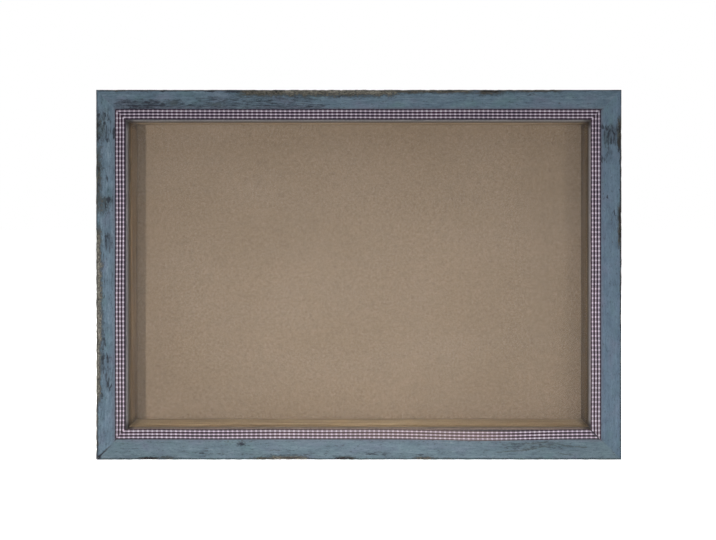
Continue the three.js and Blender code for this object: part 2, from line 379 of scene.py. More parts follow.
# Where the paint has gone from the outer edge: start and end along the side from its first corner
# (bottom from the left, right from the bottom, top from the right, left from the top), reach in from
# the edge, how fully, and how pale the wood is
wornEdges = {
    "top_rail": (
        (0.226, 0.345, 0.0066, 1, 0.6), (0.34, 0.388, 0.0066, 1, 0.2),
        (0.15, 0.232, 0.0038, 0.9, 0.25), (0.122, 0.146, 0.0052, 0.9, 0.1),
        (0.06, 0.126, 0.0026, 0.8, 0.1), (0.4, 0.53, 0.0014, 0.6, 0),
    ),
    "left_stile": (
        (0.022, 0.054, 0.006, 0.5, 0), (0.058, 0.118, 0.006, 0.62, 0.2),
        (0.11, 0.126, 0.013, 0.6, 0.2), (0.14, 0.215, 0.0056, 0.9, 0.7),
        (0.17, 0.262, 0.0064, 1, 1), (0.255, 0.318, 0.0052, 1, 0.8),
        (0.312, 0.37, 0.0026, 0.8, 0.5),
    ),
    "right_stile": (
        (0.316, 0.348, 0.0044, 0.95, 0), (0.262, 0.318, 0.0018, 0.8, 0),
        (0.218, 0.26, 0.004, 0.95, 0), (0.13, 0.22, 0.0016, 0.8, 0),
        (0.01, 0.13, 0.0012, 0.6, 0.1),
    ),
    "bottom_rail": (
        (0.043, 0.066, 0.0034, 0.75, 0.1), (0.064, 0.082, 0.0036, 0.6, 0.15),
        (0.16, 0.18, 0.0036, 0.75, 0.1), (0.176, 0.214, 0.0044, 1, 1),
        (0.242, 0.264, 0.0036, 0.8, 0.1), (0.324, 0.344, 0.0038, 0.9, 0.5),
        (0.004, 0.53, 0.0012, 0.55, 0.1),
    ),
}

# Dark scuffs and crackle on the face: start and end along the side, from and to inward, how strong
scuffs = {
    "top_rail": (
        (0.3, 0.516, 0.015, 0.02, 0.8), (0.464, 0.514, 0.01, 0.019, 0.9),
        (0.446, 0.464, 0.009, 0.019, 0.7), (0.402, 0.422, 0.0135, 0.019, 0.7),
        (0.312, 0.432, 0.006, 0.015, 0.55), (0.085, 0.095, 0.0035, 0.0065, 0.6),
    ),
    "left_stile": (
        (0.108, 0.12, 0.008, 0.017, 0.9), (0.144, 0.164, 0.009, 0.017, 0.7),
        (0.268, 0.308, 0.008, 0.017, 0.55), (0.24, 0.292, 0.0055, 0.009, 0.6),
        (0.02, 0.055, 0.006, 0.016, 0.5),
    ),
    "right_stile": (
        (0.32, 0.34, 0.004, 0.0185, 1), (0.302, 0.322, 0.01, 0.018, 0.55),
        (0.236, 0.256, 0.006, 0.015, 0.4),
    ),
    "bottom_rail": (
        (0.412, 0.474, 0.01, 0.019, 0.5), (0.143, 0.153, 0.0135, 0.0185, 0.95),
        (0.27, 0.3, 0.0055, 0.009, 0.6), (0.1, 0.24, 0.004, 0.011, 0.3),
    ),
}

# Single marks in the paint, in millimetres: along the side, in from the outer edge, half the mark's
# length, half its width, how strong, and for some its lean in degrees
darkMarks = {
    "top_rail": (
        (503, 12.4, 7.5, 0.9, 0.9), (496, 16.3, 9.5, 1, 1), (478, 16, 9, 1.3, 1.1),
        (482, 12.7, 4.5, 1, 0.8), (472, 13.2, 3.5, 1.1, 0.9), (466, 15.4, 4, 1.6, 0.9),
        (489, 18.6, 18, 0.9, 0.8), (445.8, 14.3, 2.6, 1.3, 0.7), (438, 15.6, 3.2, 1.1, 0.8),
        (428, 16.6, 3, 1, 0.7), (419, 1, 5.5, 1.7, 1), (395, 1.4, 9.5, 1.9, 1),
        (466, 1.3, 2.2, 1.6, 0.8), (489, 0.8, 7, 1, 0.7), (317, 17, 4.5, 1.1, 0.8),
        (368, 11, 4, 0.9, 0.7), (353, 14, 5, 0.9, 0.7), (132, 1.6, 11, 1.8, 0.9),
        (92, 5, 3.5, 1.3, 0.5), (330, 8, 5, 0.9, 0.6), (286, 6.8, 4, 0.9, 0.6),
    ),
    "left_stile": (
        (26.3, 2.6, 3, 2, 0.9), (25.2, 9.3, 2.6, 1.4, 0.8), (35.7, 2.6, 3.2, 2, 0.9),
        (34, 9, 2.8, 1.4, 0.8), (48, 2.5, 3.2, 2, 0.9), (51, 11.5, 3, 1.4, 0.9),
        # the mark at 43.5 along and 18.4 in is painted shadow in a gap beside the ribbon
        (41, 6, 2.4, 1.4, 0.7), (30, 13, 2.4, 1, 0.6), (43.5, 18.4, 7.5, 1.3, 1),
        (90, 11.5, 5, 1, 0.8, 10), (96.8, 2.6, 3.4, 1.8, 0.8), (80, 3, 4, 1.8, 0.8),
        (111.7, 12.8, 3, 2.5, 1.1), (119, 10, 4.5, 1, 0.8), (152, 10.3, 7, 0.9, 0.8, 6),
        (149, 12.5, 4, 0.9, 0.7, -8), (255, 8.6, 10, 1.8, 0.7), (274, 7.2, 10.5, 1.3, 0.85),
        (272, 11.8, 6, 0.8, 0.8, 8), (299, 12, 7, 0.9, 0.9, 20), (302, 15, 5, 0.9, 0.8, -15),
        (311, 6.5, 5, 1, 0.8), (374, 2, 3, 3, 1.1),
    ),
    "right_stile": (
        (338, 19.4, 2.2, 1.8, 0.9), (336.5, 15.3, 3.4, 1, 0.9, 30), (334, 12.5, 3.8, 1, 0.9, -30),
        (332.5, 8.5, 3.4, 1.1, 0.9, 25), (329.7, 13.6, 4, 0.9, 0.9, -20), (336.5, 2, 3.4, 2.4, 1),
        (320, 2, 8.5, 2.4, 1.1), (301, 1, 5, 1.6, 1), (274.5, 0.9, 5, 1.6, 1),
        (247.5, 1.4, 8, 2.1, 1.1), (226.5, 1.1, 5.5, 1.7, 1), (266.6, 14.2, 2.8, 1, 0.8),
        (250.7, 7.4, 4, 1, 0.7, 12), (306, 20.3, 5, 1, 0.9),
        (287, 0.7, 9, 1.2, 1), (262, 0.7, 9, 1.1, 1), (236, 0.9, 8, 1.3, 1),
        (205, 0.7, 14, 1, 1), (170, 0.7, 14, 0.9, 0.9), (138, 0.7, 10, 0.9, 0.8),
    ),
    "bottom_rail": (
        (148.2, 16.4, 2.6, 2, 0.9), (107.5, 6.8, 9, 0.9, 0.6), (53, 1.8, 10, 1.3, 1),
        (198.5, 2.4, 11.5, 1.1, 1), (281, 5.6, 7.5, 1, 0.8, -5), (291.5, 5.4, 3, 1, 0.8),
        (330, 5, 4, 1, 0.8), (251, 1.8, 11, 1.2, 0.9), (440, 11, 5, 0.8, 0.55, 8),
        (2, 2, 3, 3, 1.1),
    ),
}
brownMarks = {
    "top_rail": ((455, 13.5, 6, 4, 0.6), (412, 15, 11, 1.8, 0.7), (300, 6, 60, 1.6, 0.5)),
    "left_stile": ((112, 6.5, 2.4, 7.5, 0.9), (82, 3.5, 15, 3.2, 0.7), (38, 5, 15, 5.5, 0.6)),
    "right_stile": ((322, 4, 10, 2, 0.4),),
    "bottom_rail": (
        (72, 3, 7, 1.6, 0.7), (183, 10, 8, 0.8, 0.6), (146, 18.4, 18, 1.4, 0.5),
        (422, 8.9, 14, 1, 0.8, 3), (440, 11, 14, 1.2, 0.9, 8), (457, 14.2, 12, 1.2, 0.8, 10),
        (479, 14.4, 9, 1.1, 0.8, -6), (492, 13.2, 9, 1.1, 0.8, -4), (477, 6, 11, 1, 0.6, -3),
        (450, 17.5, 16, 1.1, 0.7, 4),
    ),
}

# What every outer arris has lost, and how softly the worn places end
wear = {
    "arris": 0.3,
    "arrisReach": 0.0012,
    "arrisPaleness": 0.1,
    "wander": 0.3,
    "edgeSoft": 0.009,
    "scuffSoftAlong": 0.005,
    "scuffSoftInward": 0.002,
    "scuffDepth": 0.002,  # scuffs lie on the face alone
}

# The lower left mitre stands a little open. Pairs are where a fade starts and ends.
openMitre = {
    "sides": {"bottom_rail": "first", "left_stile": "last"},
    "gap": 0.0007,
    "reach": 0.015,
    "near": 0.0005,
    "closedTip": (-0.001, 0.004),
    "closedDepth": (0.003, 0.009),
    "dirtWidth": (0.0004, 0.0022),
    "dirtReach": (0.011, 0.017),
}


def withinPatch(value, start, end, soft):
    return ease(start - soft, start + soft, value) * (1 - ease(end - soft, end + soft, value))


def edgeWear(name, along, inward, back):
    bare = wear["arris"] * math.exp(-(inward + back) / wear["arrisReach"])
    pale = wear["arrisPaleness"]
    for start, end, reach, amount, paleness in wornEdges[name]:
        wander = 1 + wear["wander"] * noise.noise((along * 160, start * 500, 3.1))
        across = 1 - ease(reach * 0.3 * wander, reach * 1.5 * wander, inward + back)
        here = amount * across * withinPatch(along, start, end, wear["edgeSoft"])
        if here > bare:
            bare, pale = here, paleness
    return bare, pale


def scuffWear(name, along, inward, length):
    worst = 0
    for start, end, low, high, amount in scuffs[name]:
        here = withinPatch(along, start, end, wear["scuffSoftAlong"])
        here *= withinPatch(inward, low, high, wear["scuffSoftInward"])
        worst = max(worst, amount * here)
    if name in openMitre["sides"]:
        fromMitre = {"first": along - inward, "last": length - along - inward}
        gap = abs(fromMitre[openMitre["sides"][name]])
        dirt = 1 - ease(*openMitre["dirtWidth"], gap)
        worst = max(worst, dirt * (1 - ease(*openMitre["dirtReach"], inward)))
    return worst


def blockOutTimber(name, length):
    bar = addBlock(name, (0, frontFace, 0), (length, rearFace, faceWidth))
    setback = timber["mitreGap"] / math.sqrt(2)
    slicePiece(bar, (setback, 0, 0), (1, 0, -1), trim=True)
    slicePiece(bar, (length - setback, 0, 0), (-1, 0, -1), trim=True)
    spare = 0.01
    step = addBlock("rebateCutter", (-spare, frontFace + timber["lip"], faceWidth - timber["rebate"]),
                    (length + spare, rearFace + spare, faceWidth + spare))
    cutAway(bar, step)
    return bar


def bevelLongEdge(bar, length, y, z, offset, segments):
    def onLine(first, second):
        straight = abs(first.y - y) + abs(second.y - y) + abs(first.z - z) + abs(second.z - z) < 0.00001
        return straight and abs(first.x - second.x) > length / 2
    editEdges(bar, onLine, bpy.ops.mesh.bevel, offset=offset, segments=segments, affect="EDGES")


def alongGrain(first, second):
    return abs(first.y - second.y) + abs(first.z - second.z) < 0.000001


def cutTimberUp(bar, length):
    for inward in timber["faceCuts"]:
        slicePiece(bar, (0, 0, inward), (0, 0, 1))
    for back in timber["sideCuts"]:
        slicePiece(bar, (0, frontFace + back, 0), (0, 1, 0))
    firstLength = length / (timber["firstCuts"] + 1)
    for cuts in (timber["firstCuts"], round(firstLength / timber["cutSpacing"]) - 1):
        editEdges(bar, alongGrain, bpy.ops.mesh.subdivide, number_cuts=cuts)


def markTimber(bar, name, length):
    marks = {"bare": [], "pale": [], "scuff": []}
    loose = bar.vertex_groups.new(name="loose")
    worn = bar.vertex_groups.new(name="worn")
    for vertex in bar.data.vertices:
        along, inward, back = vertex.co.x, vertex.co.z, vertex.co.y - frontFace
        bare, pale = edgeWear(name, along, inward, back)
        marks["bare"].append(bare)
        marks["pale"].append(pale)
        marks["scuff"].append(scuffWear(name, along, inward, length) if back < wear["scuffDepth"] else 0)
        flat = ease(timber["flatFrom"], timber["ribbonEdge"], inward) if back < timber["wornDepth"] else 1
        loose.add([vertex.index], 1 - flat, "REPLACE")
        worn.add([vertex.index], bare * (1 - flat), "REPLACE")
    for mark, values in marks.items():
        layer = bar.data.attributes.new(mark, "FLOAT", "POINT")
        layer.data.foreach_set("value", values)


def mapGrain(mesh, turns):
    # along the timber, and round its section from the outer front arris
    layer = mesh.uv_layers.new(name="grain")
    for face in mesh.polygons:
        inside = face.center.z > faceWidth / 2 and face.normal.y < 0.7
        for index in face.loop_indices:
            point = mesh.vertices[mesh.loops[index].vertex_index].co
            back = point.y - frontFace
            layer.data[index].uv = (point.x + turns * grainShift, point.z + (back if inside else -back))


def finishOf(face):
    hair = 0.0001
    inward, back = face.center.z, face.center.y - frontFace
    inRebate = back > timber["lip"] - hair and inward > faceWidth - timber["rebate"] - hair
    if abs(face.normal.x) > 0.5:
        return endSlot  # mitred ends, given dark wood as painted shade in any gap
    if face.normal.y > 0.7 or inRebate:
        return bareSlot
    if inward < faceWidth - timber["sightChamfer"] - 2 * hair:
        return paintSlot
    if back < timber["sightChamfer"] + hair:
        return chamferSlot
    return lipSlot


def openTheMitre(bar, name, length):
    if name not in openMitre["sides"]:
        return
    first = openMitre["sides"][name] == "first"
    for vertex in bar.data.vertices:
        inward, back = vertex.co.z, vertex.co.y - frontFace
        fromEnd = vertex.co.x if first else length - vertex.co.x
        if abs(fromEnd - inward) < openMitre["near"] and inward < openMitre["reach"]:
            shift = openMitre["gap"] * (1 - inward / openMitre["reach"])
            shift *= 1 - ease(*openMitre["closedDepth"], back)
            shift *= ease(*openMitre["closedTip"], inward)
            vertex.co.x += shift if first else -shift


def cloudTexture(name, **settings):
    texture = bpy.data.textures.new(name, "CLOUDS")
    adjust(texture, settings)
    return texture


def wearTimberDown(bar):
    waves = cloudTexture("longWaves", noise_scale=0.03)
    chips = cloudTexture("edgeChips", noise_scale=0.005, noise_depth=3, contrast=2.5, intensity=0.75)
    applyModifier(bar, "DISPLACE", texture=waves, vertex_group="loose", mid_level=0.5,
                  strength=timber["wave"])
    applyModifier(bar, "DISPLACE", texture=chips, vertex_group="worn", mid_level=0.0,
                  strength=-timber["chipDepth"])


bores = {"clearance": 0.0002, "nearBack": 0.0005, "pastBack": 0.001}


def fixingCutter(node):
    cutter = mergedCopy(node, "fixingCutter")
    editAll(cutter, bpy.ops.transform.shrink_fatten, value=bores["clearance"])
    for vertex in cutter.data.vertices:
        if vertex.co.y > rearFace - bores["nearBack"]:
            vertex.co.y += bores["pastBack"]
    return cutter


def holds(node, name):
    # whether this screw or nail is driven into that side
    side = name.split("_")[0]
    screw = node.startswith(("button_screw_" + side, "hanger_screw_" + side))
    return screw or node.startswith("v_nail_") and "_" + side in node


def boreForFixings(bar, name):
    cutters = [fixingCutter(node) for node in nodes if holds(node, name)]
    makeActive(cutters[0])
    for cutter in cutters:
        cutter.select_set(True)
    bpy.ops.object.join()
    cutAway(bar, cutters[0])


def makeTimber(name):
    turns = sides[name]["turns"]
    length = frameHeight if turns % 2 else frameWidth
    bar = blockOutTimber(name + "_worn", length)
    bevelLongEdge(bar, length, frontFace, 0, timber["outerArris"], 3)
    bevelLongEdge(bar, length, frontFace, faceWidth, timber["sightChamfer"], 2)
    bevelLongEdge(bar, length, rearFace, 0, timber["backArris"], 2)
    cutTimberUp(bar, length)
    setMaterials(bar, paintMaterial(name), chamfers[name], lips[name], bareTimber, brownLip)
    markTimber(bar, name, length)
    mapGrain(bar.data, turns)
    for face in bar.data.polygons:
        face.material_index = finishOf(face)
    openTheMitre(bar, name, length)
    makeActive(bar)
    bar.rotation_euler = (0, -turns * math.pi / 2, 0)
    bar.location.x, bar.location.z = corners[turns]
    bpy.ops.object.transform_apply()
    wearTimberDown(bar)
    boreForFixings(bar, name)
    smoothByAngle(bar, timber["smoothDegrees"])
    settle(bar, "frame", "painted_wood", name)


# Finishes of the timber, on a map in metres along the grain and in from the outer front arris

def grainNoise(tree, along, across, detail=4, roughness=0.6, shift=0):
    # features per metre along and across the grain
    place = (shift, shift * 1.7, shift)
    return noiseAt(tree, uvCoords(tree, "grain"), (along, across, 1), detail, roughness, place)


def inwardOnGrain(tree):
    return axesOf(tree, uvCoords(tree, "grain"))["Y"]


def tinted(coat, tint):
    return tuple(level * part for level, part in zip(coat, (*tint, 1)))


def markedPlaces(tree, sideName, marks, coords):
    # the strongest mark at each place, each one an ellipse that fades outward
    shift = sides[sideName]["turns"] * grainShift
    heights = []
    for along, inward, halfLength, halfWidth, strength, *lean in marks[sideName]:
        values = {
            "Vector": coords,
            "Location": (along / 1000 + shift, inward / 1000, 0),
            "Rotation": (0, 0, math.radians(sum(lean))),
            "Scale": (halfLength / 1000, halfWidth / 1000, 1),
        }
        offset = addNode(tree, "Mapping", values, vector_type="TEXTURE").outputs[0]
        heights.append(maths(tree, "MULTIPLY_ADD", lengthOf(tree, offset), -strength, 1.5 * strength))
    return strongest(tree, *heights)


def warpedGrain(tree, reach):
    # the grain map pushed about, so that marks have ragged outlines
    coords = uvCoords(tree, "grain")
    spot = mapped(tree, coords, (260, 520, 1))
    push = addNode(tree, "TexNoise", {"Vector": spot, "Scale": 1.0, "Detail": 3.0}).outputs["Color"]
    centred = addNode(tree, "VectorMath", {0: push, 1: (0.5, 0.5, 0.5)}, operation="SUBTRACT").outputs[0]
    scaled = addNode(tree, "VectorMath", {0: centred, "Scale": reach}, operation="SCALE").outputs[0]
    return addNode(tree, "VectorMath", {0: coords, 1: scaled}, operation="ADD").outputs[0]


def brushedPaint(tree, side):
    # coats along the grain, with greener and more purple places and small dark pits
    streaks = grainNoise(tree, 26, 420, 5)
    chatter = grainNoise(tree, 140, 760, 4, 0.6, 3)
    fine = grainNoise(tree, 640, 1200, 3, 0.6, 5)
    blotch = grainNoise(tree, 70, 130, 3, 0.5, 7)
    hue = grainNoise(tree, 34, 62, 3, 0.55, 11)
    tone = weighted(tree, (streaks, 0.28), (chatter, 0.32), (fine, 0.2), (blotch, 0.2))
    tone = maths(tree, "MULTIPLY_ADD", tone, side["contrast"], 0.5 - 0.5 * side["contrast"])
    coats = ((0.37, 50, 66, 77), (0.455, 82, 99, 112), (0.53, 98, 116, 129), (0.64, 124, 138, 147))
    paint = ramp(tree, tone, *((place, tinted(colour(*coat), side["tint"])) for place, *coat in coats))
    paint = stain(tree, paint, remap(tree, hue, 0.54, 0.7, 0, 0.45), (84, 110, 112))
    paint = stain(tree, paint, remap(tree, hue, 0.46, 0.3, 0, 0.45), (104, 108, 126))
    pits = remap(tree, grainNoise(tree, 260, 560, 5, 0.7, 13), 0.57, 0.68)
    paint = stain(tree, paint, times(tree, pits, 0.6), (46, 56, 66))
    brushMarks = weighted(tree, (streaks, 0.6), (chatter, 0.5), (fine, 0.25))
    return paint, fine, brushMarks


def dirtAndShadeAtEdges(tree, side, paint):
    # old glue beside the ribbon, painted shade beside and under its edge, and an outer arris darkened by
    # dirt and painted shade
    inset = side["ribbonInset"]
    inward = inwardOnGrain(tree)
    glue = remap(tree, grainNoise(tree, 20, 420, 5, 0.65, 29), 0.36, 0.6)
    glue = times(tree, remap(tree, inward, inset - 0.0045, inset, smooth=True), glue)
    paint = stain(tree, paint, times(tree, glue, 0.6), (100, 97, 110))
    # painted shadow of the ribbon's outer edge, carried on under the ribbon as painted shade wherever a gap
    # shows
    dirt = remap(tree, inward, inset - 0.0011, inset + 0.0001, 0, 0.9)
    paint = stain(tree, paint, dirt, (36, 33, 40))
    # the dark outer arris is partly dirt and partly painted shade on the rounded edge
    arris = remap(tree, maths(tree, "ABSOLUTE", inward), 0.0004, 0.0021, 0.9, 0)
    patchy = remap(tree, grainNoise(tree, 60, 90, 4, 0.6, 37), 0.36, 0.56, 0.7, 1)
    return stain(tree, paint, times(tree, arris, patchy), (44, 50, 56))


def wornWood(tree, through, mottle):
    # palest where it is rubbed most, in patches
    grain = weighted(tree, (grainNoise(tree, 70, 1300, 4, 0.62, 19), 0.6), (mottle, 0.35))
    grain = remap(tree, grain, 0.18, 0.42)
    dark = mixColours(tree, grain, colour(28, 29, 30), colour(78, 76, 68))
    pale = mixColours(tree, grain, colour(82, 80, 75), colour(146, 142, 131))
    patches = remap(tree, grainNoise(tree, 36, 110, 3, 0.6, 41), 0.38, 0.56, 0.35, 1)
    paleness = times(tree, attributeOf(tree, "pale"), remap(tree, through, 0.45, 0.95))
    return mixColours(tree, times(tree, paleness, patches), dark, pale)


def scuffedPlaces(tree, ragged):
    # a haze, with dark scrapes along the grain and crackle in it
    spot = mapped(tree, uvCoords(tree, "grain"), (120, 420, 1))
    cracks = addNode(tree, "TexVoronoi", {"Vector": spot, "Scale": 1.0, "Detail": 1.0},
                     feature="DISTANCE_TO_EDGE").outputs["Distance"]
    scrapes = remap(tree, grainNoise(tree, 110, 700, 5, 0.6, 23), 0.5, 0.6)
    lines = strongest(tree, scrapes, remap(tree, cracks, 0.01, 0.05, 0.5, 0))
    reach = maths(tree, "ADD", attributeOf(tree, "scuff"), times(tree, ragged, 0.7))
    lines = times(tree, remap(tree, reach, 0.2, 0.7, smooth=True), lines)
    return remap(tree, reach, 0.2, 1.0, 0, 0.5), lines


def paintMaterial(sideName):
    material, tree = newMaterial("wornBluePaint_" + sideName)
    paint, fine, brushMarks = brushedPaint(tree, sides[sideName])
    paint = dirtAndShadeAtEdges(tree, sides[sideName], paint)
    ragged = remap(tree, grainNoise(tree, 130, 460, 6, 0.7, 17), 0.3, 0.7, -0.5, 0.5)
    mottle = remap(tree, grainNoise(tree, 420, 900, 3, 0.6, 31), 0.3, 0.7, -0.5, 0.5)
    # rubbed through to the wood where the edge mark and the two noises add up
    through = weighted(tree, (ragged, 0.6), (mottle, 0.5))
    through = maths(tree, "ADD", attributeOf(tree, "bare"), through)
    rubbed = remap(tree, through, 0.36, 0.7, smooth=True)
    rim = maths(tree, "SUBTRACT", remap(tree, through, 0.04, 0.4, smooth=True), rubbed, clamp=True)
    wood = wornWood(tree, through, mottle)
    haze, scrapes = scuffedPlaces(tree, ragged)
    paint = stain(tree, paint, haze, (56, 62, 71))
    paint = stain(tree, paint, times(tree, scrapes, 0.85), (34, 34, 42))
    # brown smears, the dark rim of the rubbed places, then single dark gouges
    warped = warpedGrain(tree, 0.0028)
    broken = weighted(tree, (ragged, 0.5), (mottle, 0.7))
    smear = maths(tree, "ADD", broken, markedPlaces(tree, sideName, brownMarks, warped))
    smear = remap(tree, smear, 0.2, 0.8, 0, 0.55, smooth=True)
    paint = stain(tree, paint, smear, (62, 68, 66))
    paint = stain(tree, paint, times(tree, rim, 0.7), (54, 62, 67))
    gouge = maths(tree, "ADD", broken, markedPlaces(tree, sideName, darkMarks, warped))
    gouge = remap(tree, gouge, 0.35, 0.85, smooth=True)
    paint = stain(tree, paint, times(tree, gouge, 0.85), (36, 40, 48))
    wood = stain(tree, wood, times(tree, gouge, 0.75), (34, 33, 34))
    hollows = strongest(tree, rubbed, times(tree, scrapes, 0.7), gouge)
    rough = remap(tree, fine, 0.3, 0.7, 0.55, 0.78)
    return finished(material, {
        "Base Color": mixColours(tree, rubbed, paint, wood),
        "Roughness": strongest(tree, rough, times(tree, rubbed, 0.86)),
        "Normal": bumpFrom(tree, hollows, 0.8, -0.0003, bumpFrom(tree, brushMarks, 0.5, 0.0007)),
        "Specular IOR Level": 0.35,
    })


def cornerGrimeAndShade(tree, strength):
    # dirt and painted shade that gather in the corners of the sight opening
    spot = axesOf(tree, objectCoords(tree))
    fromMiddle = maths(tree, "ABSOLUTE", maths(tree, "SUBTRACT", spot["Z"], frameHeight / 2))
    upward = maths(tree, "SUBTRACT", fromMiddle, frameHeight / 2 - faceWidth)
    sideways = maths(tree, "SUBTRACT", maths(tree, "ABSOLUTE", spot["X"]), frameWidth / 2 - faceWidth)
    offset = addNode(tree, "CombineXYZ", {"X": sideways, "Y": upward}).outputs[0]
    return remap(tree, lengthOf(tree, offset), 0.0015, 0.008, strength, 0, smooth=True)


def chamferMaterial(name, dark, middle, light, browning):
    material, tree = newMaterial(name)
    tone = weighted(tree, (grainNoise(tree, 60, 900, 5), 0.6), (grainNoise(tree, 480, 900, 3, 0.6, 2), 0.4))
    tint = ramp(tree, tone, (0.36, colour(*dark)), (0.5, colour(*middle)), (0.64, colour(*light)))
    inward = inwardOnGrain(tree)
    edge = faceWidth - timber["sightChamfer"]
    shade = remap(tree, inward, edge, edge + 0.0007, 0.95, 0)  # painted shade beside the ribbon's inner edge
    tint = stain(tree, tint, shade, (36, 31, 36))
    brown = remap(tree, inward, edge + 0.001, edge + 0.0045, 0, browning)
    tint = stain(tree, tint, brown, (84, 76, 66))
    return finished(material, {
        "Base Color": stain(tree, tint, cornerGrimeAndShade(tree, 0.8), (34, 30, 30)),
        "Roughness": remap(tree, tone, 0.3, 0.7, 0.6, 0.85),
        "Normal": bumpFrom(tree, tone, 0.4, 0.0004),
    })


def woodMaterial(name, dark, light, pore):
    material, tree = newMaterial(name)
    rings = grainNoise(tree, 9, 260, 6)
    pores = grainNoise(tree, 110, 2400, 3, 0.6, 2)
    dirt = grainNoise(tree, 42, 60, 4, 0.6, 4)
    tint = mixColours(tree, remap(tree, rings, 0.36, 0.64), colour(*dark), colour(*light))
    tint = stain(tree, tint, remap(tree, pores, 0.56, 0.72, 0, 0.6), pore)
    tint = stain(tree, tint, remap(tree, dirt, 0.5, 0.75, 0, 0.5), dark)
    relief = weighted(tree, (rings, 1.0), (pores, 0.6))
    return finished(material, {
        "Base Color": stain(tree, tint, cornerGrimeAndShade(tree, 0.4), (34, 29, 26)),
        "Roughness": remap(tree, rings, 0.3, 0.7, 0.7, 0.88),
        "Normal": bumpFrom(tree, relief, 0.5, 0.0005),
    })


# dark, middle and light screen colours, and how brown the inner part is
# each side has its own copy, lighter or darker partly as painted light and shade for how it faces the lamps
chamfers = {
    "bottom_rail": chamferMaterial("dirtyEdge", (80, 70, 66), (114, 101, 94), (138, 123, 112), 0.4),
    "right_stile": chamferMaterial("paleEdge", (95, 93, 95), (126, 123, 125), (146, 143, 144), 0.4),
    "top_rail": chamferMaterial("duskyEdge", (81, 79, 80), (108, 104, 105), (128, 124, 123), 0.9),
    "left_stile": chamferMaterial("greyEdge", (88, 86, 87), (116, 112, 113), (136, 132, 131), 0.9),
}
# dark grain, light grain and pores
brownLip = woodMaterial("brownLip", (88, 76, 64), (116, 103, 90), (60, 50, 42))
# each side's lip wood is lighter or darker partly as painted light and shade for how it faces the lamps
lips = {
    "bottom_rail": woodMaterial("honeyLip", (150, 128, 98), (184, 160, 126), (112, 92, 66)),
    "right_stile": woodMaterial("darkLip", (72, 62, 52), (98, 86, 74), (50, 42, 36)),
    "top_rail": brownLip,
    "left_stile": woodMaterial("paleLip", (110, 98, 84), (140, 126, 110), (78, 68, 58)),
}
bareTimber = woodMaterial("bareTimber", (122, 98, 70), (174, 146, 108), (86, 66, 46))

for sideName in sides:
    makeTimber(sideName)
    print("timber made:", sideName)


# Gingham ribbon glued round the sight edge, one length with its ends meeting at the lower right

ribbon = {
    "width": 0.010,
    "proud": 0.00045,  # front of the ribbon in front of the timber
    "thickness": 0.00036,
    "columnSpacing": 0.0012,
    "rows": 10,
    "foldLift": 0.00035,
    "foldReach": (0.004, 0.0085),
    "pucker": 0.00012,
    "edgeCurl": 0.00008,
    "startGap": 0.0017,
    "endLap": 0.0001,
    "endRise": 0.02,  # length over which the last end climbs onto the first
    "endPoint": 0.0016,  # frayed tip of the last end, at its outer edge
    "cornerHold": 0.03,  # it lies true at a corner, and wanders fully this far from it
    "wander": {"bottom": 0.0005, "left": 0.0004, "top": 0.0002, "right": 0.0004},
    "sag": {"at": 0.133, "spread": 0.055, "drop": 0.0015},  # where the bottom run dips
    "checkAlong": 0.00479,
    "checkAcross": 0.00318,
    "thread": 0.0003,
    "smoothDegrees": 40,
}

ribbonRuns = (
    ("bottom", "lowRight", "lowLeft"),
    ("left", "lowLeft", "highLeft"),
    ("top", "highLeft", "highRight"),
    ("right", "highRight", "lowRight"),
)


def ribbonCorner(name, across):
    # across runs from the sight opening, 0, to the outer edge of the ribbon
    inward = ribbon["width"] - across
    left = outerLeft + sides["left_stile"]["ribbonInset"] + inward
    right = outerRight - sides["right_stile"]["ribbonInset"] - inward
    low = sides["bottom_rail"]["ribbonInset"] + inward
    high = outerTop - sides["top_rail"]["ribbonInset"] - inward
    return {"lowRight": Vector((right, 0, low)), "lowLeft": Vector((left, 0, low)),
            "highLeft": Vector((left, 0, high)), "highRight": Vector((right, 0, high))}[name]


def runLength(start, end):
    middle = ribbon["width"] / 2
    return (ribbonCorner(end, middle) - ribbonCorner(start, middle)).length


def ribbonPoint(run, start, end, t, across):
    first, last = ribbonCorner(start, across), ribbonCorner(end, across)
    direction = (last - first).normalized()
    if run == "bottom":
        first = first + direction * ribbon["startGap"]
    if run == "right":
        tip = ribbon["endPoint"] * (across / ribbon["width"]) ** 4
        last = last + direction * (ribbon["endLap"] + tip)
    point = first.lerp(last, t)
    outward = Vector((-direction.z, 0, direction.x))
    span = (last - first).length
    hold = ribbon["cornerHold"]
    free = ease(0, hold, t * span) * (1 - ease(span - hold, span, t * span))
    drift = ribbon["wander"][run] * noise.noise((t * span * 14, ord(run[0]) * 0.37, 0.5)) * free
    if run == "bottom":
        sag = ribbon["sag"]
        drift += sag["drop"] * math.exp(-((point.x - sag["at"]) / sag["spread"]) ** 2) * free
    return point + outward * drift


def ribbonLift(run, t, span, across):
    fromEnds = min(t * span, span - t * span)
    fold = ribbon["foldLift"] * 0.6 * (1 - ease(*ribbon["foldReach"], fromEnds))
    pucker = ribbon["pucker"] * (0.5 + noise.noise((t * span * 55, across * 160, ord(run[0]) * 0.61)))
    edge = ribbon["edgeCurl"] * (abs(across / ribbon["width"] - 0.5) * 2) ** 3
    lap = ribbon["foldLift"] * ease(span - ribbon["endRise"], span, t * span) if run == "right" else 0
    return fold + pucker + edge + lap


